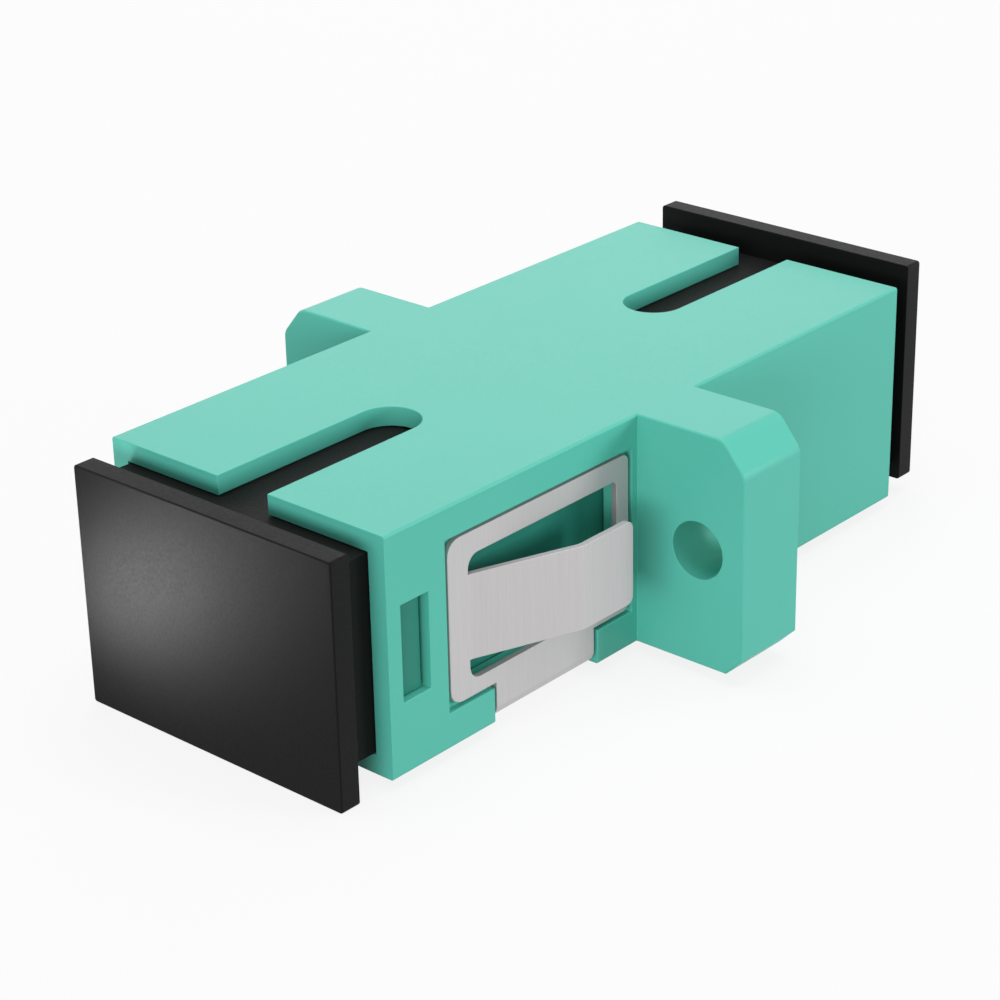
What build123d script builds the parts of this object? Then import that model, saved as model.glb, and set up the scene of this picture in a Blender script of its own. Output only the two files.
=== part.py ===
"""Simplex fibre-optic adapter with a spring clip for panels and a dust cap in each port.

X runs across the body, Y runs along the optical axis from the front port to the rear port, Z is up.
The origin is the middle of the sleeve in which two ferrules meet. All sizes are millimetres.
"""
import os

from build123d import *

# Housing
BODY_WIDTH = 13.0
BODY_HEIGHT = 9.0
BODY_LENGTH = 29.2
BODY_EDGE_RADIUS = 0.1
WALL = 0.75

# Keyways in the top wall, each open at its port
KEYWAY_WIDTH = 2.4
KEYWAY_LENGTH = 8.3

# Flange and its screw holes
FLANGE_WIDTH = 22.4
FLANGE_THICKNESS = 3.3
FLANGE_HOLE_DIAMETER = 2.2
FLANGE_HOLE_EDGE_DISTANCE = 2.0
EAR_TOP_CHAMFER_WIDTH = 0.95
EAR_TOP_CHAMFER_HEIGHT = 1.15
EAR_TOP_ROUNDING = 0.6
EAR_BOTTOM_CHAMFER = 0.7
EAR_EDGE_RADIUS = 0.08

# Inner core, two halves that meet at Y = 0
CORE_FIT = 0.05
CHEEK_THICKNESS = 1.15
PLATE_THICKNESS = 1.0
CORE_EDGE_RADIUS = 0.15
CHEEK_LEAD_IN = 0.3
DOWEL_DIAMETER = 0.9
DOWEL_LENGTH = 0.5
DOWEL_FIT = 0.05
DOWEL_EDGE_DISTANCE = 1.2

# Alignment sleeve and the tube that holds it
SLEEVE_LENGTH = 11.4
SLEEVE_BORE_DIAMETER = 2.49
SLEEVE_OUTER_DIAMETER = 3.2
SLEEVE_SLIT_WIDTH = 0.4
SLEEVE_FLOAT = 0.05
HOLDER_WALL = 0.75
HOLDER_LIP_LENGTH = 0.85
HOLDER_LIP_DIAMETER = 2.8
HOLDER_TIP_CHAMFER = 0.3

# Hooks that latch a plug
HOOK_THICKNESS = 1.0
HOOK_HEIGHT = 2.6
HOOK_REACH = 9.8
HOOK_CATCH_LENGTH = 1.45
HOOK_BARB = 0.5
HOOK_BARB_LAND = 0.3
HOOK_CATCH_SLOPE = 0.25
HOOK_TIP_THICKNESS = 0.55
HOOK_WALL_GAP = 0.15
HOOK_ROOT_RADIUS = 0.3
HOOK_GROOVE_DEPTH = 0.65
HOOK_GROOVE_CLEARANCE = 0.3
HOOK_GROOVE_OVERRUN = 0.8

# Snap noses of the front core half and their windows in the housing
SNAP_MARGIN = 0.1
WINDOW_LENGTH = 1.35
WINDOW_HEIGHT = 3.6
NOSE_HEIGHT = 0.5
NOSE_FIT = 0.05
NOSE_RAMP = 0.15

# Panel clip, folded from one strip of sheet
SHEET_THICKNESS = 0.25
CLIP_SINK = 0.05
CLIP_FIT = 0.15
CLIP_RIB = 0.3
WING_LENGTH = 9.5
WING_HEIGHT = 6.15
WING_RISE = 0.075
WING_FRONT_CORNER = 0.6
WING_BACK_CORNER = 0.3
WING_FRONT_BAR = 1.0
WING_BACK_BAR = 0.65
WING_TOP_BAR = 0.85
WING_BOTTOM_BAR = 0.6
OPENING_FRONT_CORNER = 0.5
OPENING_BACK_CORNER = 0.25
STRAP_WIDTH = 5.25
STRAP_SETBACK = 1.95
STRAP_BEND_RADIUS = 0.3
TONGUE_HEIGHT = 3.2
TONGUE_ROOT_LENGTH = 0.5
TONGUE_RAMP_LENGTH = 4.05
TONGUE_RISE = 1.55
TONGUE_BEND_RADIUS = 0.8
TONGUE_CORNER_RADIUS = 0.3
PANEL_GAP = 2.1
POCKET_MARGIN = 0.1

# Dust caps
CAP_FIT = 0.05
CAP_PLATE_WIDTH = 12.3
CAP_PLATE_HEIGHT = 9.2
CAP_PLATE_THICKNESS = 0.85
CAP_PLATE_OFFSET = 0.35
CAP_PLATE_CORNER = 0.12
CAP_PLATE_EDGE = 0.06
CAP_STANDOFF = 1.25
CAP_COLLAR_DEPTH = 0.4
CAP_COLLAR_GAP = 0.15
CAP_PLUG_LENGTH = 8.2
CAP_PLUG_WALL = 0.8
CAP_PLUG_ROOF = 0.9
CAP_PLUG_CORNER = 0.6
CAP_PLUG_LEAD_IN = 0.35
CAP_HOOK_CLEARANCE = 0.4

# Places that several pieces share
HALF_LENGTH = BODY_LENGTH / 2
CAVITY_WIDTH = BODY_WIDTH - 2 * WALL
CAVITY_HEIGHT = BODY_HEIGHT - 2 * WALL
PORT_WIDTH = CAVITY_WIDTH - 2 * (CORE_FIT + CHEEK_THICKNESS)
HOOK_OUTER_FACE = PORT_WIDTH / 2 - HOOK_WALL_GAP
GROOVE_WIDTH = PORT_WIDTH + 2 * HOOK_GROOVE_DEPTH
GROOVE_HEIGHT = HOOK_HEIGHT + 2 * HOOK_GROOVE_CLEARANCE
GROOVE_END = HOOK_REACH + HOOK_GROOVE_OVERRUN
CHEEK_END = HALF_LENGTH - CAP_COLLAR_DEPTH - CAP_COLLAR_GAP
WINDOW_END = CHEEK_END - SNAP_MARGIN
FLANGE_FACE = FLANGE_THICKNESS / 2
FLANGE_HOLE_SPACING = FLANGE_WIDTH - 2 * FLANGE_HOLE_EDGE_DISTANCE
RECESS_BACK = -FLANGE_FACE - CLIP_RIB
WING_BACK = RECESS_BACK - CLIP_FIT
WING_FRONT = WING_BACK - WING_LENGTH
WING_BOTTOM = WING_RISE - WING_HEIGHT / 2
WING_TOP = WING_RISE + WING_HEIGHT / 2
OPENING_BACK = WING_BACK - WING_BACK_BAR
OPENING_FRONT = WING_FRONT + WING_FRONT_BAR
OPENING_BOTTOM = WING_BOTTOM + WING_BOTTOM_BAR
OPENING_TOP = WING_TOP - WING_TOP_BAR
STRAP_BACK = WING_BACK - STRAP_SETBACK
STRAP_FRONT = STRAP_BACK - STRAP_WIDTH
RECESS_DEPTH = SHEET_THICKNESS + CLIP_SINK


def along_y(profile, start, end):
    """Extrude a profile drawn in X and Z from one Y to another."""
    return extrude(Plane.XZ.offset(-start) * profile, amount=start - end)


def along_x(profile, start, end):
    """Extrude a profile drawn in Y and Z from one X to another."""
    return extrude(Plane.YZ.offset(start) * profile, amount=end - start)


def along_z(profile, start, end):
    """Extrude a profile drawn in X and Y from one Z to another."""
    return extrude(Plane.XY.offset(start) * profile, amount=end - start)


def rectangle_between(low, high, radius=0.0):
    """Rectangle between two corners, its own corners rounded where a radius is given."""
    width = high[0] - low[0]
    height = high[1] - low[1]
    centre = Pos((low[0] + high[0]) / 2, (low[1] + high[1]) / 2)
    if radius > 0:
        return centre * RectangleRounded(width, height, radius)
    return centre * Rectangle(width, height)


def side_outline(low, high, front_radius, back_radius):
    """Rectangle drawn in Y and Z, its two front corners and its two back corners rounded."""
    outline = rectangle_between(low, high)
    outline = fillet(outline.vertices().sort_by(Axis.X)[:2], front_radius)
    return fillet(outline.vertices().sort_by(Axis.X)[-2:], back_radius)


def both_sides(shape):
    """The shape together with its mirror image across the body."""
    return shape + mirror(shape, about=Plane.YZ)


def flange():
    """Plate with an ear on each side: chamfered below, chamfered and rounded above."""
    side = FLANGE_WIDTH / 2
    top = BODY_HEIGHT / 2
    outline = Polyline(
        (0, -top),
        (side - EAR_BOTTOM_CHAMFER, -top),
        (side, -top + EAR_BOTTOM_CHAMFER),
        (side, top - EAR_TOP_CHAMFER_HEIGHT),
        (side - EAR_TOP_CHAMFER_WIDTH, top),
        (0, top),
        close=True,
    )
    half = make_face(outline)
    shoulders = half.vertices().filter_by_position(Axis.X, side - EAR_TOP_CHAMFER_WIDTH, side)
    shoulders = shoulders.filter_by_position(Axis.Y, 0, top)
    half = fillet(shoulders, EAR_TOP_ROUNDING)
    plate = along_y(both_sides(half), -FLANGE_FACE, FLANGE_FACE)
    rim = plate.edges().filter_by_position(Axis.Y, -FLANGE_FACE, -FLANGE_FACE)
    rim += plate.edges().filter_by_position(Axis.Y, FLANGE_FACE, FLANGE_FACE)
    plate = fillet(rim, EAR_EDGE_RADIUS)
    for x in (-FLANGE_HOLE_SPACING / 2, FLANGE_HOLE_SPACING / 2):
        plate -= along_y(Pos(x, 0) * Circle(FLANGE_HOLE_DIAMETER / 2), -FLANGE_FACE, FLANGE_FACE)
    return plate


def keyway():
    """Slot in the top wall of the front half, open at the mouth and round at its inner end."""
    radius = KEYWAY_WIDTH / 2
    centre = -HALF_LENGTH + KEYWAY_LENGTH - radius
    slot = rectangle_between((-radius, -BODY_LENGTH), (radius, centre))
    slot += Pos(0, centre) * Circle(radius)
    return along_z(slot, 0, BODY_HEIGHT)


def clip_recess():
    """Room sunk into both sides for the wings and round the belly for the strap."""
    low = (WING_FRONT - CLIP_FIT, WING_BOTTOM - CLIP_FIT)
    wing = rectangle_between(low, (RECESS_BACK, WING_TOP + CLIP_FIT))
    sides = both_sides(along_x(wing, BODY_WIDTH / 2 - RECESS_DEPTH, BODY_WIDTH))
    outside = rectangle_between((-BODY_WIDTH, -BODY_HEIGHT), (BODY_WIDTH, WING_BOTTOM))
    width = BODY_WIDTH - 2 * RECESS_DEPTH
    height = BODY_HEIGHT - 2 * RECESS_DEPTH
    inside = RectangleRounded(width, height, STRAP_BEND_RADIUS)
    belly = along_y(outside - inside, STRAP_FRONT - CLIP_FIT, STRAP_BACK + CLIP_FIT)
    return sides + belly


def clip_pocket():
    """Opening through both side walls behind the clip's tongues."""
    low = (OPENING_FRONT - POCKET_MARGIN, OPENING_BOTTOM - POCKET_MARGIN)
    high = (OPENING_BACK + POCKET_MARGIN, OPENING_TOP + POCKET_MARGIN)
    opening = side_outline(low, high, OPENING_FRONT_CORNER, OPENING_BACK_CORNER)
    return along_x(opening, -BODY_WIDTH, BODY_WIDTH)


def housing():
    """One-piece body: the core slides in from the front and stops on a step behind the flange."""
    section = RectangleRounded(BODY_WIDTH, BODY_HEIGHT, BODY_EDGE_RADIUS)
    body = along_y(section, -HALF_LENGTH, HALF_LENGTH) + flange()
    cavity = Rectangle(CAVITY_WIDTH, CAVITY_HEIGHT)
    body -= along_y(cavity, -HALF_LENGTH, PLATE_THICKNESS)
    body -= along_y(Rectangle(PORT_WIDTH, CAVITY_HEIGHT), PLATE_THICKNESS, HALF_LENGTH)
    body -= along_y(Rectangle(GROOVE_WIDTH, GROOVE_HEIGHT), PLATE_THICKNESS, GROOVE_END)
    body -= along_y(cavity, CHEEK_END, HALF_LENGTH)
    body -= keyway()
    body -= mirror(keyway(), about=Plane.XZ)
    low = (-WINDOW_END, -WINDOW_HEIGHT / 2)
    window = rectangle_between(low, (WINDOW_LENGTH - WINDOW_END, WINDOW_HEIGHT / 2))
    body -= along_x(window, -BODY_WIDTH, BODY_WIDTH)
    body -= clip_recess()
    body -= clip_pocket()
    return body


def latch_hook():
    """Springy arm beside the sleeve holder, with an inward barb near its tip."""
    outer = HOOK_OUTER_FACE
    inner = outer - HOOK_THICKNESS
    barb = inner - HOOK_BARB
    catch = HOOK_REACH - HOOK_CATCH_LENGTH
    outline = Polyline(
        (outer, -PLATE_THICKNESS / 2),
        (outer, -HOOK_REACH + HOOK_BARB_LAND),
        (outer - HOOK_BARB_LAND, -HOOK_REACH),
        (outer - HOOK_TIP_THICKNESS, -HOOK_REACH),
        (barb, -catch - HOOK_CATCH_SLOPE - HOOK_BARB_LAND),
        (barb, -catch - HOOK_CATCH_SLOPE),
        (inner, -catch),
        (inner, -PLATE_THICKNESS / 2),
        close=True,
    )
    return along_z(make_face(outline), -HOOK_HEIGHT / 2, HOOK_HEIGHT / 2)


def sleeve_holder():
    """Tube with a lip at its tip that keeps the sleeve in."""
    bore = SLEEVE_OUTER_DIAMETER / 2 + SLEEVE_FLOAT
    lip = SLEEVE_LENGTH / 2 + SLEEVE_FLOAT
    tip = lip + HOLDER_LIP_LENGTH
    tube = along_y(Circle(bore + HOLDER_WALL), -tip, 0)
    tube = chamfer(tube.edges().sort_by(Axis.Y)[0], HOLDER_TIP_CHAMFER)
    return tube, along_y(Circle(bore), -lip, 0) + along_y(Circle(HOLDER_LIP_DIAMETER / 2), -tip, 0)


def cheek():
    """Guide wall beside the front port, grooved behind its hook, with a snap nose near the mouth."""
    inner = PORT_WIDTH / 2
    outer = inner + CHEEK_THICKNESS
    height = CAVITY_HEIGHT - 2 * CORE_FIT
    plan = Polyline(
        (outer, -PLATE_THICKNESS),
        (outer, -CHEEK_END),
        (inner + CHEEK_LEAD_IN, -CHEEK_END),
        (inner, -CHEEK_END + CHEEK_LEAD_IN),
        (inner, -PLATE_THICKNESS),
        close=True,
    )
    wall = along_z(make_face(plan), -height / 2, height / 2)
    groove = along_y(Rectangle(GROOVE_WIDTH, GROOVE_HEIGHT), -GROOVE_END, -PLATE_THICKNESS)
    start = -WINDOW_END + NOSE_FIT
    end = -WINDOW_END + WINDOW_LENGTH - NOSE_FIT
    nose = Polyline(
        (outer - NOSE_HEIGHT / 2, start),
        (outer + NOSE_HEIGHT, start),
        (outer + NOSE_HEIGHT, end - NOSE_RAMP),
        (outer, end),
        (outer - NOSE_HEIGHT / 2, end),
        close=True,
    )
    reach = WINDOW_HEIGHT / 2 - NOSE_FIT
    return wall - groove + along_z(make_face(nose), -reach, reach)


def core_half():
    """Front half without cheeks: seat plate, sleeve holder, two hooks, two dowels and their sockets."""
    width = CAVITY_WIDTH - 2 * CORE_FIT
    height = CAVITY_HEIGHT - 2 * CORE_FIT
    tube, bore = sleeve_holder()
    half = along_y(RectangleRounded(width, height, CORE_EDGE_RADIUS), -PLATE_THICKNESS, 0)
    half += tube
    half += both_sides(latch_hook())
    roots = half.edges().filter_by(Axis.Z).filter_by_position(Axis.Y, -PLATE_THICKNESS, -PLATE_THICKNESS)
    roots = roots.filter_by_position(Axis.X, -HOOK_OUTER_FACE, HOOK_OUTER_FACE)
    half = fillet(roots, HOOK_ROOT_RADIUS)
    half -= bore
    x = width / 2 - DOWEL_EDGE_DISTANCE
    z = height / 2 - DOWEL_EDGE_DISTANCE
    dowel = Circle(DOWEL_DIAMETER / 2)
    socket = Circle(DOWEL_DIAMETER / 2 + DOWEL_FIT)
    for side in (-1, 1):
        half += along_y(Pos(side * x, side * z) * dowel, -PLATE_THICKNESS / 2, DOWEL_LENGTH)
        half -= along_y(Pos(side * x, -side * z) * socket, -DOWEL_LENGTH - DOWEL_FIT, 0)
    return half


def split_sleeve():
    """Tube slit along its top, which grips both ferrules."""
    ring = Circle(SLEEVE_OUTER_DIAMETER / 2) - Circle(SLEEVE_BORE_DIAMETER / 2)
    slit = rectangle_between((-SLEEVE_SLIT_WIDTH / 2, 0), (SLEEVE_SLIT_WIDTH / 2, SLEEVE_OUTER_DIAMETER))
    return along_y(ring - slit, -SLEEVE_LENGTH / 2, SLEEVE_LENGTH / 2)


def tongue():
    """Strip left on the wing at its front end, bent outwards and then back parallel to the side."""
    inner = BODY_WIDTH / 2 - RECESS_DEPTH
    out = inner + TONGUE_RISE
    tip = -FLANGE_FACE - PANEL_GAP
    path = FilletPolyline(
        (inner, OPENING_FRONT - TONGUE_ROOT_LENGTH),
        (inner, OPENING_FRONT),
        (out, OPENING_FRONT + TONGUE_RAMP_LENGTH),
        (out, tip),
        radius=TONGUE_BEND_RADIUS,
    )
    strip = make_face(offset(path, SHEET_THICKNESS, side=Side.RIGHT))
    strip = along_z(strip, -TONGUE_HEIGHT / 2, TONGUE_HEIGHT / 2)
    corners = strip.edges().filter_by(Axis.X).filter_by_position(Axis.Y, tip, tip)
    return fillet(corners, TONGUE_CORNER_RADIUS)


def panel_clip():
    """Spring clip: two wings with tongues, joined by a strap under the body."""
    inner = BODY_WIDTH / 2 - RECESS_DEPTH
    outer = inner + SHEET_THICKNESS
    low = (WING_FRONT, WING_BOTTOM)
    wing = side_outline(low, (WING_BACK, WING_TOP), WING_FRONT_CORNER, WING_BACK_CORNER)
    low = (OPENING_FRONT, OPENING_BOTTOM)
    high = (OPENING_BACK, OPENING_TOP)
    wing -= side_outline(low, high, OPENING_FRONT_CORNER, OPENING_BACK_CORNER)
    belly = BODY_HEIGHT / 2 - RECESS_DEPTH
    bend = STRAP_BEND_RADIUS
    outside = RectangleRounded(2 * outer, 2 * (belly + SHEET_THICKNESS), bend + SHEET_THICKNESS)
    inside = RectangleRounded(2 * inner, 2 * belly, bend)
    top = WING_BOTTOM + WING_BOTTOM_BAR / 2
    lower_half = rectangle_between((-BODY_WIDTH, -BODY_HEIGHT), (BODY_WIDTH, top))
    strap = along_y((outside - inside) & lower_half, STRAP_FRONT, STRAP_BACK)
    return both_sides(along_x(wing, inner, outer) + tongue()) + strap


def dust_cap():
    """Front cap: a plate that stands off the mouth on a collar, and a hollow plug that clears the hooks."""
    mouth = HALF_LENGTH - CAP_COLLAR_DEPTH
    back = HALF_LENGTH + CAP_STANDOFF
    tip = mouth - CAP_PLUG_LENGTH
    height = CAVITY_HEIGHT - 2 * CAP_FIT
    outline = RectangleRounded(CAP_PLATE_WIDTH, CAP_PLATE_HEIGHT, CAP_PLATE_CORNER)
    plate = along_y(Pos(0, -CAP_PLATE_OFFSET) * outline, -back - CAP_PLATE_THICKNESS, -back)
    face_edges = plate.faces().sort_by(Axis.Y)[0].edges()
    plate = fillet(face_edges, CAP_PLATE_EDGE)
    collar = along_y(Rectangle(CAVITY_WIDTH - 2 * CAP_FIT, height), -back, -mouth)
    width = PORT_WIDTH - 2 * CAP_FIT
    plug = along_y(RectangleRounded(width, height, CAP_PLUG_CORNER), -back, -tip)
    tip_edges = plug.faces().sort_by(Axis.Y)[-1].edges()
    plug = chamfer(tip_edges, CAP_PLUG_LEAD_IN)
    cap = plate + collar + plug
    cap -= along_y(Rectangle(width - 2 * CAP_PLUG_WALL, height - 2 * CAP_PLUG_ROOF), -back, -tip)
    slot_height = HOOK_HEIGHT + 2 * CAP_HOOK_CLEARANCE
    cap -= along_y(Rectangle(width, slot_height), -HOOK_REACH - CAP_HOOK_CLEARANCE, -tip)
    return cap


def main():
    """Write one STEP file for each piece."""
    half = core_half()
    cap = dust_cap()
    pieces = {
        "housing": housing(),
        "front_latch_core": half + both_sides(cheek()),
        "rear_latch_core": Rot(0, 0, 180) * half,
        "split_sleeve": split_sleeve(),
        "panel_clip": panel_clip(),
        "front_dust_cap": cap,
        "rear_dust_cap": Rot(180, 0, 0) * cap,
    }
    os.makedirs("parts", exist_ok=True)
    for name, piece in pieces.items():
        export_step(piece, f"parts/{name}.step")
        print(name, "volume", round(piece.volume, 2))


if __name__ == "__main__":
    main()
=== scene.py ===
import math

import bmesh
import bpy
from bpy.props import FloatProperty, FloatVectorProperty, PointerProperty
from mathutils import Euler, Matrix, Vector


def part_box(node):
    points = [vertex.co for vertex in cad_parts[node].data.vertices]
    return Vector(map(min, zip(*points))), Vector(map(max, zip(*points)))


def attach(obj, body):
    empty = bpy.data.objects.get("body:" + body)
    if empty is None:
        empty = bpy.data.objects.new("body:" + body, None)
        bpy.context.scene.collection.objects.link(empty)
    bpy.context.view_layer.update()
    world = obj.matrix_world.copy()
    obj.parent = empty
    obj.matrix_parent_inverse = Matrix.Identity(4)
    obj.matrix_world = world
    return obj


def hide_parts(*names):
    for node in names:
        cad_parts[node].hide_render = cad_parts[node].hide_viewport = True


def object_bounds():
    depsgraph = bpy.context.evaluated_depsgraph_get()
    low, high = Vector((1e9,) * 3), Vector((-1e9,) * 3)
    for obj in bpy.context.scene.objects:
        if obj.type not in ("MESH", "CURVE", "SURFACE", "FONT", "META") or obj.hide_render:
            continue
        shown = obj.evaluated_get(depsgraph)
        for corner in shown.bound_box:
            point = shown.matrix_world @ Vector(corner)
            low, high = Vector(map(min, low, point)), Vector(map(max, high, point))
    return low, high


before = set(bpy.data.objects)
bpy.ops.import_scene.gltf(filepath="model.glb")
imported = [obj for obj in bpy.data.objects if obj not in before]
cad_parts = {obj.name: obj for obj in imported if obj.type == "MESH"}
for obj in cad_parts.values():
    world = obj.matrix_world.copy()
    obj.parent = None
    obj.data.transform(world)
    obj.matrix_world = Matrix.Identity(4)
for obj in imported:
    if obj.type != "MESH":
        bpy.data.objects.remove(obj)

bl_info = {
    "name": "Fibre Adapter",
    "version": (1, 0, 0),
    "blender": (4, 5, 0),
    "location": "View3D > Sidebar > Fibre Adapter",
    "description": "Moulded body, panel clip, dust caps and stage of a flanged simplex fibre adapter",
    "category": "Object",
}

MM = 0.001
CAD_LOW, CAD_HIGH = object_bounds()
CLIP_LOW, CLIP_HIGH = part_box("panel_clip")
CAP_LOW, CAP_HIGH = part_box("front_dust_cap")

# Vertices closer than this are one point, and faces within this angle are one flat
WELD = 0.0005 * MM
FLAT = math.radians(0.3)

# Places closer than this are the same, and a direction with this share along an axis runs along it
SAME_PLACE = 0.001 * MM
ALIGNED = 0.99

# Edges sharper than the first angle get a rounding, and shading runs on over edges below the second
SHARP = math.radians(35)
SMOOTH = math.radians(50)

# Faces round a bend or corner of the sheet, and round a corner of a moulding
BEND_STEPS = 5
CORNER_STEPS = 4

# A cutter stands out past what it cuts by this
OVERSHOOT = 1 * MM

# Slow clouds in a moulding's colour are about this wide
CLOUD_SIZE = 4 * MM

# Depth of a moulding's grain and of a drawn metal's lines, as a share of their width
GRAIN_DEPTH = 1 / 12
LINE_DEPTH = 1 / 20

# Nearly all values of a noise lie between these
NOISE_LOW, NOISE_HIGH = 0.3, 0.7

# A Mix node has its colour inputs and result at these places
MIX_FACTOR, MIX_A, MIX_B, MIX_RESULT = 0, 6, 7, 2


def linear(code):
    """Linear colour of an sRGB hex value."""
    parts = [int(code[start:start + 2], 16) / 255 for start in (1, 3, 5)]
    return [part / 12.92 if part <= 0.04045 else ((part + 0.055) / 1.055) ** 2.4 for part in parts]


def length(name, description, millimetres):
    """A length that a user can change, with its default given in millimetres."""
    return FloatProperty(
        name=name, description=description, default=millimetres * MM, min=0, unit="LENGTH", precision=5
    )


def colour(name, description, code):
    """A colour that a user can change, with its default given as sRGB hex."""
    return FloatVectorProperty(
        name=name, description=description, subtype="COLOR", size=3, min=0, max=1, default=linear(code)
    )


def angle(name, description, degrees):
    """An angle that a user can change, with its default given in degrees."""
    return FloatProperty(name=name, description=description, default=math.radians(degrees), subtype="ANGLE")


def point(name, description, *millimetres):
    """A point that a user can change, with its default given in millimetres."""
    return FloatVectorProperty(
        name=name, description=description, subtype="TRANSLATION", unit="LENGTH", precision=5,
        default=[part * MM for part in millimetres],
    )


def power(name, description, watts):
    """A lamp's power that a user can change, with its default given in watts."""
    return FloatProperty(name=name, description=description, default=watts, min=0, unit="POWER", precision=5)


def share(name, description, part):
    """A share between none and all that a user can change."""
    return FloatProperty(name=name, description=description, default=part, min=0, max=1, subtype="FACTOR")


class BodySettings(bpy.types.PropertyGroup):
    """What a user can change on the moulded body and core."""

    plastic: colour("Plastic", "Colour of the moulded body", "#5FCAB7")
    # The core's colour is a darker copy of the body's aqua: painted shade where the core shows through the
    # body's openings
    core_painted_shade: colour("Core plastic", "Colour of the core, which shows in the body's openings", "#2E8B7B")
    edge_break: length("Edge break", "Rounding that the mould leaves on the body's sharp edges", 0.03)
    grain: length("Grain", "Width of the fine grain that the mould leaves on the plastic", 0.12)


class SleeveSettings(bpy.types.PropertyGroup):
    """What a user can change on the alignment sleeve."""

    bronze: colour("Bronze", "Colour of the sleeve's phosphor bronze", "#C79A62")


class ClipSettings(bpy.types.PropertyGroup):
    """What a user can change on the panel clip."""

    steel: colour("Steel", "Colour of the clip's stainless sheet", "#BAB8B9")
    sheet: length("Sheet", "Thickness of the sheet", 0.25)
    wing_height: length("Wing height", "Height of the clip's flat side", 6.15)
    wing_front_corner: length("Wing front corner", "Rounding of the wing's front corners", 0.6)
    wing_back_corner: length("Wing back corner", "Rounding of the wing's back corners", 0.3)
    front_bar: length("Front bar", "Width of the bar in front of the wing's opening", 1.0)
    back_bar: length("Back bar", "Width of the bar behind the wing's opening", 0.65)
    top_bar: length("Top bar", "Width of the bar above the wing's opening", 0.85)
    bottom_bar: length("Bottom bar", "Width of the bar below the wing's opening", 0.6)
    front_corner: length("Front opening corner", "Rounding of the opening's front corners", 0.5)
    back_corner: length("Back opening corner", "Rounding of the opening's back corners", 0.25)
    strap_width: length("Strap width", "Width of the strap that goes under the body", 5.25)
    strap_setback: length("Strap setback", "Distance from the wing's back edge to the strap", 1.95)
    strap_bend: length("Strap bend", "Inner radius where the sheet turns under the body", 0.3)
    tongue_height: length("Tongue height", "Height of the tongue", 3.2)
    tongue_rise: length("Tongue rise", "How far the tongue stands out from the wing", 1.55)
    tongue_ramp: length("Tongue ramp", "Length of the tongue's slope along the body", 4.05)
    tongue_bend: length("Tongue bend", "Radius of the tongue's two bends", 0.8)
    tongue_tip: length("Tongue tip", "Distance from the wing's back edge to the tongue's tip", 1.65)
    tip_corner: length("Tip corner", "Rounding of the tongue's two corners", 0.3)
    edge_break: length("Edge break", "Rounding of the sheet's stamped edges", 0.03)


class CapSettings(bpy.types.PropertyGroup):
    """What a user can change on the dust caps."""

    plastic: colour("Plastic", "Colour of the dust caps", "#070707")
    grain: length("Grain", "Width of the fine grain that the mould leaves on the plastic", 0.12)
    plate: length("Plate", "Thickness of the cap's plate", 0.85)
    plate_corner: length("Plate corner", "Rounding of the plate's four corners", 0.12)
    plate_edge: length("Plate edge", "Rounding round the plate's outer face", 0.06)
    collar_width: length("Collar width", "Width of the collar that fits the body's mouth", 11.4)
    collar_height: length("Collar height", "Height of the collar and of the plug", 7.4)
    collar_length: length("Collar length", "Length of the collar behind the plate", 1.65)
    plug_width: length("Plug width", "Width of the plug inside the port", 9.0)
    plug_corner: length("Plug corner", "Rounding along the plug", 0.6)
    plug_wall: length("Plug wall", "Thickness of the plug's sides", 0.8)
    plug_roof: length("Plug roof", "Thickness of the plug's top and bottom", 0.9)
    lead_in: length("Lead-in", "Chamfer round the plug's open end", 0.35)
    slot_length: length("Slot length", "Length of the slots that clear the latch hooks", 4.2)
    slot_height: length("Slot height", "Height of the slots that clear the latch hooks", 3.4)
    edge_break: length("Edge break", "Rounding that the mould leaves on sharp edges", 0.05)


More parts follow.
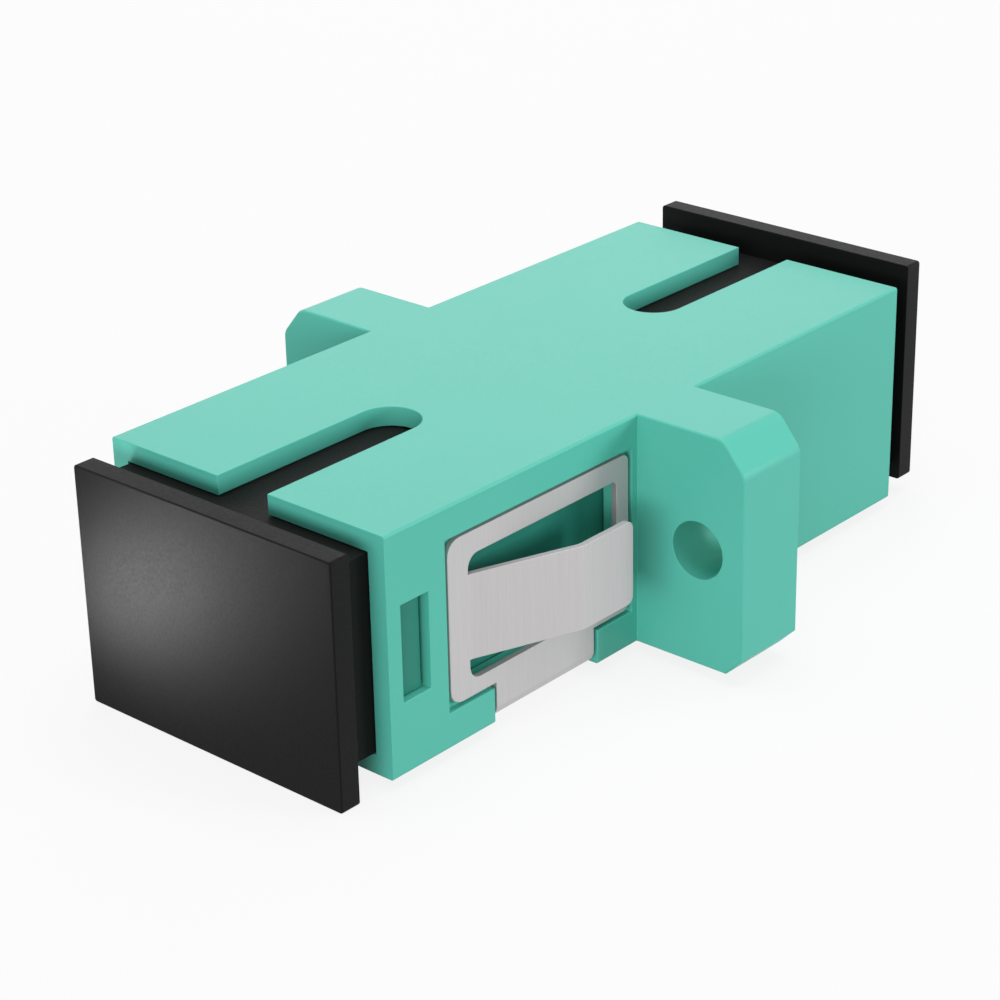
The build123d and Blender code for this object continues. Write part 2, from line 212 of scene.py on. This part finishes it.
class StageSettings(bpy.types.PropertyGroup):
    """What a user can change on the floor, the lamps and the camera."""

    paper: colour("Paper", "Colour of the floor", "#F8F8F8")
    floor_size: length("Floor size", "Side of the square floor", 3000)
    paper_glow: share("White share", "How far the floor looks plain white to the camera", 0.85)
    paper_bounce: share("Bounce", "Part of its light that the floor throws back onto the object", 0.4)
    ambient: share("Ambient", "Strength of the light from all round", 0.3)
    top_power: power("Top lamp", "Power of the large soft lamp overhead", 0.345)
    top_place: point("Top lamp place", "Where the lamp overhead hangs", 0, 0, 250)
    top_size: length("Top lamp size", "Side of the lamp overhead", 220)
    front_power: power("Front lamp", "Power of the soft lamp before the front port", 1.665)
    front_place: point("Front lamp place", "Where the lamp before the front port stands", 180, -555, 72)
    front_width: length("Front lamp width", "Width of the lamp before the front port", 480)
    front_height: length("Front lamp height", "Height of the lamp before the front port", 162)
    side_power: power("Side lamp", "Power of the low lamp off the right side", 1.08)
    side_place: point("Side lamp place", "Where the lamp off the right side stands", 450, 261, 96)
    side_size: length("Side lamp size", "Side of the lamp off the right side", 150)
    back_power: power("Back lamp", "Power of the soft lamp that gleams in the upper faces", 0.05)
    back_place: point("Back lamp place", "Where the lamp opposite the camera hangs", -121, 136, 83)
    back_size: length("Back lamp size", "Side of the lamp opposite the camera", 120)
    gleam_power: power("Gleam lamp", "Power of the small lamp that gleams in the front cap's face", 0.00038)
    gleam_place: point("Gleam lamp place", "Where the small lamp stands", -9.2, -23.6, -3.6)
    gleam_aim: point("Gleam lamp aim", "Point of the front cap's face in which it gleams", -3, -16.7, 0.2)
    gleam_size: length("Gleam lamp size", "Side of the small lamp", 4)
    gleam_spread: angle("Gleam lamp spread", "Width of the small lamp's beam, kept off the body", 55)
    azimuth: angle("Azimuth", "Camera's direction round the object, from behind the front port", 41.76)
    elevation: angle("Elevation", "Camera's height above the horizon", 24.62)
    roll: angle("Roll", "Camera's turn about its own line of sight", -1.21)
    distance: length("Distance", "Camera's distance from the point that it looks at", 103.3)
    aim: point("Aim", "Point that the camera looks at", -0.53, -1.112, -1.038)
    lens: FloatProperty(name="Lens", description="Focal length", default=98.9, min=1, unit="CAMERA")


def add_node(tree, kind, sockets=None, **settings):
    """Add a node, set its own settings, and give each named input a value or a link."""
    node = tree.nodes.new(kind)
    for name, value in settings.items():
        setattr(node, name, value)
    for name, value in (sockets or {}).items():
        if isinstance(value, bpy.types.NodeSocket):
            tree.links.new(value, node.inputs[name])
        else:
            node.inputs[name].default_value = value
    return node


def new_material(name):
    """An empty node material, its tree, and its output node."""
    material = bpy.data.materials.new(name)
    material.use_nodes = True
    material.node_tree.nodes.clear()
    return material, material.node_tree, add_node(material.node_tree, "ShaderNodeOutputMaterial")


def shade(rgb, factor):
    """The colour made lighter or darker, as a node's four values."""
    return [min(1, part * factor) for part in rgb] + [1]


def lay_surface(tree, output, rgb, tint, spread, relief, strength, depth, roughness, reach, finish):
    """Build the shader of a surface: tint moves its colour, and relief moves its gloss and its height.

    spread and reach say how far colour and roughness move, and finish holds what is even all over."""
    tone = add_node(
        tree, "ShaderNodeMix",
        {MIX_FACTOR: tint, MIX_A: shade(rgb, 1 - spread), MIX_B: shade(rgb, 1 + spread)}, data_type="RGBA",
    ).outputs[MIX_RESULT]
    gloss = add_node(
        tree, "ShaderNodeMapRange",
        {
            "Value": relief, "From Min": NOISE_LOW, "From Max": NOISE_HIGH,
            "To Min": roughness - reach, "To Max": roughness + reach,
        },
    ).outputs["Result"]
    normal = add_node(
        tree, "ShaderNodeBump", {"Height": relief, "Strength": strength, "Distance": depth}
    ).outputs["Normal"]
    surface = add_node(
        tree, "ShaderNodeBsdfPrincipled", {"Base Color": tone, "Roughness": gloss, "Normal": normal, **finish}
    )
    tree.links.new(surface.outputs["BSDF"], output.inputs["Surface"])


def moulded(name, rgb, grain, roughness, ior, specular, cloudiness, sheen=0.0):
    """Moulded plastic: a fine eroded grain in the gloss and slow clouds in the colour.

    The real grain is a few hundredths of a millimetre wide, and is drawn coarser so that it shows."""
    material, tree, output = new_material(name)
    place = add_node(tree, "ShaderNodeTexCoord").outputs["Object"]
    fine = add_node(
        tree, "ShaderNodeTexNoise", {"Vector": place, "Scale": 1 / grain, "Detail": 2.0, "Roughness": 0.6}
    ).outputs["Fac"]
    cloud = add_node(
        tree, "ShaderNodeTexNoise", {"Vector": place, "Scale": 1 / CLOUD_SIZE, "Detail": 2.0}
    ).outputs["Fac"]
    lay_surface(
        tree, output, rgb, tint=cloud, spread=cloudiness, relief=fine, strength=0.25,
        depth=grain * GRAIN_DEPTH, roughness=roughness, reach=0.05,
        finish={"IOR": ior, "Specular IOR Level": specular, "Sheen Weight": sheen},
    )
    return material


def pbt(name, rgb, grain):
    """PBT moulded in an eroded tool: satin, a little cloudy, with a grain that only softens its gloss."""
    return moulded(name, rgb, grain, roughness=0.42, ior=1.55, specular=0.2, cloudiness=0.02)


def black_pe(settings):
    """Soft black polyethylene: deep black, with a wide dull gloss that shows the lamps as pale clouds."""
    return moulded(
        "moulded_PE_black", settings.plastic, settings.grain,
        roughness=0.6, ior=1.51, specular=0.1, cloudiness=0.1, sheen=0.06,
    )


def drawn_metal(name, rgb, across, along, roughness, spread):
    """Bare metal with fine lines: rgb is its reflection, across and along are the lines' width and length.

    Real lines are a few hundredths of a millimetre wide, and are drawn coarser so that they show."""
    material, tree, output = new_material(name)
    place = add_node(tree, "ShaderNodeTexCoord").outputs["Object"]
    stretch = add_node(
        tree, "ShaderNodeMapping", {"Vector": place, "Scale": [1 / size for size in (along, across, along)]}
    ).outputs["Vector"]
    lines = add_node(
        tree, "ShaderNodeTexNoise", {"Vector": stretch, "Scale": 1.0, "Detail": 3.0, "Roughness": 0.7}
    ).outputs["Fac"]
    lay_surface(
        tree, output, rgb, tint=lines, spread=spread, relief=lines, strength=0.2,
        depth=across * LINE_DEPTH, roughness=roughness, reach=0.06, finish={"Metallic": 1.0},
    )
    return material


def stainless_sheet(settings):
    """Tumbled stainless strip: grey and dull, with faint lines along it as it wraps round the body."""
    return drawn_metal(
        "rolled_stainless_steel", settings.steel,
        across=0.08 * MM, along=3 * MM, roughness=0.75, spread=0.03,
    )


def phosphor_bronze(settings):
    """Drawn phosphor bronze tube: warm, fairly bright, with faint lines round it."""
    return drawn_metal(
        "drawn_phosphor_bronze", settings.bronze, across=0.08 * MM, along=2 * MM, roughness=0.3, spread=0.04
    )


def only_select(piece):
    """Make one object the selected and active one."""
    bpy.ops.object.select_all(action="DESELECT")
    piece.select_set(True)
    bpy.context.view_layer.objects.active = piece


def middle(part):
    """Middle of a face's or an edge's vertices, or a vertex's own place."""
    spots = [part.co] if isinstance(part, bmesh.types.BMVert) else [vert.co for vert in part.verts]
    return sum(spots, Vector()) / len(spots)


def select_where(piece, kind, test):
    """In edit mode, select only the vertices, edges or faces that pass the test."""
    bpy.ops.mesh.select_mode(type=kind)
    bpy.ops.mesh.select_all(action="DESELECT")
    mesh = bmesh.from_edit_mesh(piece.data)
    parts = {"VERT": mesh.verts, "EDGE": mesh.edges, "FACE": mesh.faces}[kind]
    found = [part for part in parts if test(part)]
    if not found:
        raise RuntimeError(f"{piece.name}: nothing to select")
    for part in found:
        part.select_set(True)
    mesh.select_flush_mode()
    bmesh.update_edit_mesh(piece.data)


def near(value, wanted):
    """Whether two places along an axis are the same."""
    return abs(value - wanted) < SAME_PLACE


def pull(offset):
    """Extrude the selection by an offset."""
    bpy.ops.mesh.extrude_region_move(TRANSFORM_OT_translate={"value": offset})


def cut(place, normal):
    """Cut the selected faces along a plane."""
    bpy.ops.mesh.bisect(plane_co=place, plane_no=normal)


def fit_selection(piece, low, high):
    """Scale and move the selection so that it fills the box from low to high."""
    spots = [vert.co for vert in bmesh.from_edit_mesh(piece.data).verts if vert.select]
    now_low = Vector(map(min, *spots))
    now_high = Vector(map(max, *spots))
    centre = (now_low + now_high) / 2
    spans = [now_high[axis] - now_low[axis] for axis in range(3)]
    ratio = [(high[axis] - low[axis]) / span if span > 0 else 1 for axis, span in enumerate(spans)]
    bpy.ops.transform.resize(value=ratio, center_override=centre)
    bpy.ops.transform.translate(value=(Vector(low) + Vector(high)) / 2 - centre)


def add_block(name, low, high):
    """A cube from one corner to another, with its place in its mesh."""
    bpy.ops.object.select_all(action="DESELECT")
    bpy.ops.mesh.primitive_cube_add(size=1, location=(Vector(low) + Vector(high)) / 2)
    piece = bpy.context.object
    piece.name = name
    piece.scale = Vector(high) - Vector(low)
    bpy.ops.object.transform_apply(location=True, rotation=True, scale=True)
    return piece


def apply_modifier(piece, kind, **settings):
    """Add a modifier with its settings and apply it."""
    only_select(piece)
    modifier = piece.modifiers.new(kind.title(), kind)
    for name, value in settings.items():
        setattr(modifier, name, value)
    bpy.ops.object.modifier_apply(modifier=modifier.name)


def soften(piece, radius):
    """Round a piece's sharp edges and shade its curves smooth and its flats flat."""
    only_select(piece)
    bpy.ops.object.shade_smooth_by_angle(angle=SMOOTH)
    apply_modifier(piece, "BEVEL", width=radius, segments=2, limit_method="ANGLE", angle_limit=SHARP)
    only_select(piece)
    bpy.ops.object.shade_smooth_by_angle(angle=SMOOTH)
    apply_modifier(piece, "WEIGHTED_NORMAL", keep_sharp=True)


def dress(piece, material, body, node):
    """Give a finished piece its material, and let it stand for its CAD node."""
    piece.data.name = piece.name
    piece.data.materials.clear()
    piece.data.materials.append(material)
    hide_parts(node)
    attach(piece, body)


def dress_node(node, material):
    """Give a CAD node that is shown as it is its material."""
    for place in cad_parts[node].material_slots:
        place.material = material


def merged_copy(node, name):
    """A copy of a CAD node, with its loose triangles merged into whole faces."""
    piece = bpy.data.objects.new(name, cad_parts[node].data.copy())
    bpy.context.collection.objects.link(piece)
    only_select(piece)
    bpy.ops.object.mode_set(mode="EDIT")
    bpy.ops.mesh.select_all(action="SELECT")
    bpy.ops.mesh.remove_doubles(threshold=WELD)
    bpy.ops.mesh.dissolve_limited(angle_limit=FLAT)
    bpy.ops.mesh.customdata_custom_splitnormals_clear()
    bpy.ops.object.mode_set(mode="OBJECT")
    return piece


class ADAPTER_OT_body(bpy.types.Operator):
    """Soften the edges of the moulded body and give it its aqua plastic, and give the core inside it a darker
    aqua that is painted shade in the body's openings
    """

    bl_idname = "fibre_adapter.body"
    bl_label = "Moulded body"

    def execute(self, context):
        settings = context.scene.adapter_body
        body = merged_copy("housing", "moulded_body")
        soften(body, settings.edge_break)
        aqua = pbt("moulded_PBT_aqua", settings.plastic, settings.grain)
        dress(body, aqua, "adapter", "housing")
        # The core's plastic is a darker copy of the aqua: painted shade, so that the openings in the body
        # look dark
        aqua_painted_shade = pbt("moulded_PBT_aqua_painted_shade", settings.core_painted_shade, settings.grain)
        for node in ("front_latch_core", "rear_latch_core"):
            dress_node(node, aqua_painted_shade)
        return {"FINISHED"}


class ADAPTER_OT_sleeve(bpy.types.Operator):
    """Give the alignment sleeve its drawn bronze"""

    bl_idname = "fibre_adapter.sleeve"
    bl_label = "Alignment sleeve"

    def execute(self, context):
        dress_node("split_sleeve", phosphor_bronze(context.scene.adapter_sleeve))
        return {"FINISHED"}


def turn(start, end, radius):
    """Steps of an arc from one direction to another, each as its length and its direction."""
    step = (end - start) / BEND_STEPS
    chord = 2 * radius * math.sin(abs(step) / 2)
    return [(chord, start + step * (count + 0.5)) for count in range(BEND_STEPS)]


def in_opening(face, front, back, bottom, top):
    """Whether a face of the blank lies in the wing's opening, and not in one of its rounded corners."""
    spot = middle(face)
    corner = (back - front) / 4
    return front + corner < spot.y < back - corner and bottom < spot.z < top


def wing(clip, settings):
    """Cut the wing's opening out of the blank, round its corners, and return where its front bar ends."""
    back = CLIP_HIGH.y - settings.back_bar
    front = CLIP_LOW.y + settings.front_bar
    top = CLIP_HIGH.z - settings.top_bar
    lowest = CLIP_HIGH.z - settings.wing_height
    bottom = lowest + settings.bottom_bar
    for y in (front, back):
        bpy.ops.mesh.select_all(action="SELECT")
        cut((0, y, 0), (0, 1, 0))
    for z in (bottom, top):
        bpy.ops.mesh.select_all(action="SELECT")
        cut((0, 0, z), (0, 0, 1))
    corners = (
        (front, (bottom, top), settings.front_corner),
        (back, (bottom, top), settings.back_corner),
        (CLIP_LOW.y, (lowest, CLIP_HIGH.z), settings.wing_front_corner),
        (CLIP_HIGH.y, (lowest, CLIP_HIGH.z), settings.wing_back_corner),
    )
    for y, levels, radius in corners:
        select_where(clip, "VERT", lambda v: near(v.co.y, y) and any(near(v.co.z, z) for z in levels))
        bpy.ops.mesh.bevel(offset=radius, segments=BEND_STEPS, affect="VERTICES")
    for z in (-settings.tongue_height / 2, settings.tongue_height / 2):
        select_where(clip, "FACE", lambda f: in_opening(f, front, back, bottom, top))
        cut((0, 0, z), (0, 0, 1))
    select_where(clip, "FACE", lambda f: in_opening(f, front, back, bottom, top))
    bpy.ops.mesh.delete(type="FACE")
    return front


def follow(steps, direction):
    """Extrude the selected edge along steps: direction turns each one's length and angle into an offset."""
    for step, heading in steps:
        pull(direction(step, heading))


def tongue(clip, settings, front):
    """Pull the tongue out of the front bar: a bend out, a slope, a bend back and a straight tip."""
    half = settings.tongue_height / 2
    select_where(clip, "EDGE", lambda e: near(middle(e).y, front) and abs(middle(e).z) < half / 2)
    slope = math.atan2(settings.tongue_rise, settings.tongue_ramp)
    bend_out = turn(0, slope, settings.tongue_bend)
    bend_back = turn(slope, 0, settings.tongue_bend)
    bends = bend_out + bend_back
    risen = sum(step * math.sin(heading) for step, heading in bends)
    straight = (settings.tongue_rise - risen) / math.sin(slope)
    run = sum(step * math.cos(heading) for step, heading in bends) + straight * math.cos(slope)
    tip = CLIP_HIGH.y - settings.tongue_tip
    steps = bend_out + [(straight, slope)] + bend_back + [(tip - front - run, 0)]
    follow(steps, lambda step, heading: (step * math.sin(heading), step * math.cos(heading), 0))
    select_where(clip, "VERT", lambda v: near(v.co.y, tip) and near(abs(v.co.z), half))
    bpy.ops.mesh.bevel(offset=settings.tip_corner, segments=BEND_STEPS, affect="VERTICES")


def strap(clip, settings, face):
    """Pull the strap from the wing's lower edge down, round the body's corner and to its belly's middle."""
    bottom = CLIP_HIGH.z - settings.wing_height
    back = CLIP_HIGH.y - settings.strap_setback
    for y in (back - settings.strap_width, back):
        select_where(clip, "FACE", lambda f: middle(f).z < bottom + settings.bottom_bar)
        cut((0, y, 0), (0, 1, 0))
    select_where(
        clip, "EDGE",
        lambda e: near(middle(e).z, bottom) and back - settings.strap_width < middle(e).y < back,
    )
    belly = CLIP_LOW.z + settings.sheet
    drop = bottom - belly - settings.strap_bend
    across = face - settings.strap_bend
    steps = [(drop, 0)] + turn(0, math.pi / 2, settings.strap_bend) + [(across, math.pi / 2)]
    follow(steps, lambda step, heading: (-step * math.sin(heading), 0, -step * math.cos(heading)))


class ADAPTER_OT_clip(bpy.types.Operator):
    """Fold the panel clip from flat sheet: wings with an opening and a tongue, and a strap under the body"""

    bl_idname = "fibre_adapter.clip"
    bl_label = "Panel clip"

    def execute(self, context):
        settings = context.scene.adapter_clip
        face = CLIP_HIGH.x - settings.tongue_rise - settings.sheet
        low = Vector((face, CLIP_LOW.y, CLIP_HIGH.z - settings.wing_height))
        high = Vector((face, CLIP_HIGH.y, CLIP_HIGH.z))
        bpy.ops.object.select_all(action="DESELECT")
        bpy.ops.mesh.primitive_plane_add(size=1, location=(low + high) / 2, rotation=(0, math.pi / 2, 0))
        clip = bpy.context.object
        clip.name = "spring_clip"
        clip.scale = (high.z - low.z, high.y - low.y, 1)
        bpy.ops.object.transform_apply(location=True, rotation=True, scale=True)
        bpy.ops.object.mode_set(mode="EDIT")
        front = wing(clip, settings)
        tongue(clip, settings, front)
        strap(clip, settings, face)
        bpy.ops.mesh.select_all(action="SELECT")
        bpy.ops.mesh.dissolve_limited(angle_limit=FLAT)
        bpy.ops.object.mode_set(mode="OBJECT")
        apply_modifier(clip, "MIRROR", use_axis=(True, False, False), merge_threshold=WELD)
        bpy.ops.object.mode_set(mode="EDIT")
        bpy.ops.mesh.select_all(action="SELECT")
        bpy.ops.mesh.normals_make_consistent(inside=False)
        bpy.ops.object.mode_set(mode="OBJECT")
        apply_modifier(clip, "SOLIDIFY", thickness=settings.sheet, offset=1, use_even_offset=True)
        soften(clip, settings.edge_break)
        dress(clip, stainless_sheet(settings), "adapter", "panel_clip")
        return {"FINISHED"}


def end_face(face, y):
    """Whether a face looks along +Y and lies at y."""
    return face.normal.y > ALIGNED and near(middle(face).y, y)


def along(edge):
    """Whether an edge runs along the optical axis."""
    offset = edge.verts[1].co - edge.verts[0].co
    return abs(offset.y) > ALIGNED * offset.length


def plate_and_plug(cap, settings):
    """Pull the collar and then the plug out of the plate's back, and sink the hollow into the plug."""
    plate_back = CAP_LOW.y + settings.plate
    collar_end = plate_back + settings.collar_length
    tip = CAP_HIGH.y
    wide = settings.collar_width / 2
    tall = settings.collar_height / 2
    narrow = settings.plug_width / 2
    select_where(cap, "FACE", lambda f: end_face(f, plate_back))
    # An inset only makes the ring of faces, and the fit then gives its inside the right size
    bpy.ops.mesh.inset(thickness=settings.plate_corner)
    fit_selection(cap, (-wide, plate_back, -tall), (wide, plate_back, tall))
    pull((0, collar_end - plate_back, 0))
    for x in (-narrow, narrow):
        select_where(cap, "FACE", lambda f: end_face(f, collar_end))
        cut((x, 0, 0), (1, 0, 0))
    select_where(cap, "FACE", lambda f: end_face(f, collar_end) and abs(middle(f).x) < narrow / 2)
    pull((0, tip - collar_end, 0))
    inner = narrow - settings.plug_wall
    roof = tall - settings.plug_roof
    bpy.ops.mesh.inset(thickness=settings.plug_wall)
    fit_selection(cap, (-inner, tip, -roof), (inner, tip, roof))
    pull((0, plate_back - tip, 0))
    select_where(
        cap, "EDGE", lambda e: along(e) and middle(e).y > collar_end and near(abs(middle(e).x), narrow)
    )
    bpy.ops.mesh.bevel(offset=settings.plug_corner, segments=CORNER_STEPS, affect="EDGES")
    select_where(
        cap, "EDGE",
        lambda e: near(middle(e).y, tip) and e.calc_face_angle() > SHARP
        and (abs(middle(e).x) > inner + settings.edge_break or abs(middle(e).z) > roof + settings.edge_break),
    )
    bpy.ops.mesh.bevel(offset=settings.lead_in, segments=1, affect="EDGES")


def round_plate(cap, settings):
    """Round the plate's four corners, and then the outline of its outer face."""
    select_where(
        cap, "EDGE",
        lambda e: along(e) and near(abs(middle(e).x), CAP_HIGH.x)
        and middle(e).y < CAP_LOW.y + settings.plate,
    )
    bpy.ops.mesh.bevel(offset=settings.plate_corner, segments=CORNER_STEPS, affect="EDGES")
    select_where(
        cap, "EDGE", lambda e: near(e.verts[0].co.y, CAP_LOW.y) and near(e.verts[1].co.y, CAP_LOW.y)
    )
    bpy.ops.mesh.bevel(offset=settings.plate_edge, segments=3, affect="EDGES")


def cut_slots(cap, settings):
    """Cut the slots for the latch hooks through both sides of the plug's open end."""
    half = settings.slot_height / 2
    low = (CAP_LOW.x, CAP_HIGH.y - settings.slot_length, -half)
    cutter = add_block("slot_cutter", low, (CAP_HIGH.x, CAP_HIGH.y + OVERSHOOT, half))
    apply_modifier(cap, "BOOLEAN", operation="DIFFERENCE", solver="EXACT", object=cutter)
    bpy.data.objects.remove(cutter)


class ADAPTER_OT_caps(bpy.types.Operator):
    """Model the front dust cap, and turn a copy of it end for end for the rear port"""

    bl_idname = "fibre_adapter.caps"
    bl_label = "Dust caps"

    def execute(self, context):
        settings = context.scene.adapter_caps
        plastic = black_pe(settings)
        plate_back = CAP_LOW.y + settings.plate
        front = add_block("front_cap_moulding", CAP_LOW, (CAP_HIGH.x, plate_back, CAP_HIGH.z))
        bpy.ops.object.mode_set(mode="EDIT")
        plate_and_plug(front, settings)
        round_plate(front, settings)
        bpy.ops.object.mode_set(mode="OBJECT")
        cut_slots(front, settings)
        soften(front, settings.edge_break)
        rear = front.copy()
        rear.data = front.data.copy()
        rear.name = "rear_cap_moulding"
        context.collection.objects.link(rear)
        rear.rotation_euler = (math.pi, 0, 0)
        only_select(rear)
        bpy.ops.object.transform_apply(location=True, rotation=True, scale=True)
        dress(front, plastic, "front_cap", "front_dust_cap")
        dress(rear, plastic, "rear_cap", "rear_dust_cap")
        return {"FINISHED"}


def seen_rays(tree):
    """One on rays by which a surface is seen, straight, in gloss or through a clear part, and else zero."""
    rays = add_node(tree, "ShaderNodeLightPath").outputs
    seen = rays["Is Camera Ray"]
    for other in ("Is Glossy Ray", "Is Transmission Ray"):
        seen = add_node(
            tree, "ShaderNodeMath", {0: seen, 1: rays[other]}, operation="MAXIMUM"
        ).outputs["Value"]
    return seen


def matt_paper(settings):
    """Pale matt paper: its white share looks plain white where it is seen, and the rest takes shadows.

    It throws only a part of its light back, so that the object's sides and recesses stay dark."""
    material, tree, output = new_material("matt_backdrop_paper")
    seen = seen_rays(tree)
    white_share = add_node(
        tree, "ShaderNodeMath", {0: seen, 1: settings.paper_glow}, operation="MULTIPLY"
    ).outputs["Value"]
    thrown_back = shade(settings.paper, settings.paper_bounce)
    tone = add_node(
        tree, "ShaderNodeMix", {MIX_FACTOR: seen, MIX_A: thrown_back, MIX_B: shade(settings.paper, 1)},
        data_type="RGBA",
    ).outputs[MIX_RESULT]
    paper = add_node(tree, "ShaderNodeBsdfDiffuse", {"Color": tone})
    white = add_node(tree, "ShaderNodeEmission", {"Color": (1, 1, 1, 1), "Strength": 1.0})
    blend = add_node(
        tree, "ShaderNodeMixShader", {0: white_share, 1: paper.outputs["BSDF"], 2: white.outputs["Emission"]}
    )
    tree.links.new(blend.outputs["Shader"], output.inputs["Surface"])
    return material


def white_world(settings):
    """A world that looks plain white, and lights the object at its ambient strength."""
    world = bpy.data.worlds.new("studio")
    bpy.context.scene.world = world
    world.use_nodes = True
    tree = world.node_tree
    tree.nodes.clear()
    strength = add_node(
        tree, "ShaderNodeMath", {0: seen_rays(tree), 1: settings.ambient}, operation="MAXIMUM"
    ).outputs["Value"]
    light = add_node(tree, "ShaderNodeBackground", {"Color": (1, 1, 1, 1), "Strength": strength})
    output = add_node(tree, "ShaderNodeOutputWorld")
    tree.links.new(light.outputs["Background"], output.inputs["Surface"])


def add_lamp(name, place, width, height, watts, target=(0, 0, 0), spread=math.pi):
    """A flat soft lamp that looks at a point, unseen by the camera."""
    bpy.ops.object.light_add(type="AREA", location=place)
    lamp = bpy.context.object
    lamp.name = name
    lamp.rotation_euler = (Vector(target) - Vector(place)).to_track_quat("-Z", "Y").to_euler()
    lamp.data.shape = "RECTANGLE"
    lamp.data.size = width
    lamp.data.size_y = height
    lamp.data.energy = watts
    lamp.data.spread = spread
    lamp.visible_camera = False
    return lamp


def add_camera(settings):
    """The camera at the angle from which the object was drawn."""
    bpy.ops.object.camera_add()
    camera = bpy.context.object
    stand = Euler((math.pi / 2 - settings.elevation, 0, settings.azimuth)).to_matrix()
    camera.rotation_euler = (stand @ Matrix.Rotation(settings.roll, 3, "Z")).to_euler()
    camera.location = Vector(settings.aim) + stand @ Vector((0, 0, settings.distance))
    camera.data.lens = settings.lens
    camera.data.clip_start = MM
    bpy.context.scene.camera = camera


class ADAPTER_OT_stage(bpy.types.Operator):
    """Lay the floor under the object and set up the lamps, the white surroundings and the camera"""

    bl_idname = "fibre_adapter.stage"
    bl_label = "Stage"

    def execute(self, context):
        settings = context.scene.adapter_stage
        bpy.ops.object.select_all(action="DESELECT")
        bpy.ops.mesh.primitive_plane_add(size=settings.floor_size, location=(0, 0, CAD_LOW.z))
        floor = bpy.context.object
        floor.name = "floor"
        floor.data.materials.append(matt_paper(settings))
        white_world(settings)
        add_lamp("top_lamp", settings.top_place, settings.top_size, settings.top_size, settings.top_power)
        add_lamp(
            "front_lamp", settings.front_place, settings.front_width, settings.front_height,
            settings.front_power,
        )
        add_lamp(
            "side_lamp", settings.side_place, settings.side_size, settings.side_size, settings.side_power
        )
        add_lamp(
            "back_lamp", settings.back_place, settings.back_size, settings.back_size, settings.back_power
        )
        gleam_lamp = add_lamp(
            "gleam_lamp", settings.gleam_place, settings.gleam_size, settings.gleam_size,
            settings.gleam_power, target=settings.gleam_aim, spread=settings.gleam_spread,
        )
        # The small lamp travels with the cap, so that its gleam stays on the cap's face
        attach(gleam_lamp, "front_cap")
        add_camera(settings)
        context.scene.view_settings.view_transform = "Standard"
        return {"FINISHED"}


class ADAPTER_PT_panel(bpy.types.Panel):
    """Settings and buttons for the fibre adapter's pieces and stage"""

    bl_idname = "ADAPTER_PT_panel"
    bl_label = "Fibre Adapter"
    bl_space_type = "VIEW_3D"
    bl_region_type = "UI"
    bl_category = "Fibre Adapter"

    def draw(self, context):
        for group, operator in GROUPS.items():
            settings = getattr(context.scene, group)
            box = self.layout.box()
            for name in settings.__annotations__:
                box.prop(settings, name)
            box.operator(operator.bl_idname)


GROUPS = {
    "adapter_body": ADAPTER_OT_body,
    "adapter_sleeve": ADAPTER_OT_sleeve,
    "adapter_clip": ADAPTER_OT_clip,
    "adapter_caps": ADAPTER_OT_caps,
    "adapter_stage": ADAPTER_OT_stage,
}
SETTINGS = (BodySettings, SleeveSettings, ClipSettings, CapSettings, StageSettings)


def register():
    """Register every class and hang its settings on the scene."""
    for kind, group, operator in zip(SETTINGS, GROUPS, GROUPS.values()):
        bpy.utils.register_class(kind)
        bpy.utils.register_class(operator)
        setattr(bpy.types.Scene, group, PointerProperty(type=kind))
    bpy.utils.register_class(ADAPTER_PT_panel)


def unregister():
    """Take the panel, the settings and the classes away again."""
    bpy.utils.unregister_class(ADAPTER_PT_panel)
    for kind, group, operator in zip(SETTINGS, GROUPS, GROUPS.values()):
        delattr(bpy.types.Scene, group)
        bpy.utils.unregister_class(operator)
        bpy.utils.unregister_class(kind)


def main():
    """Register the add-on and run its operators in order."""
    register()
    bpy.ops.fibre_adapter.body()
    bpy.ops.fibre_adapter.sleeve()
    bpy.ops.fibre_adapter.clip()
    bpy.ops.fibre_adapter.caps()
    bpy.ops.fibre_adapter.stage()


if __name__ == "__main__":
    main()
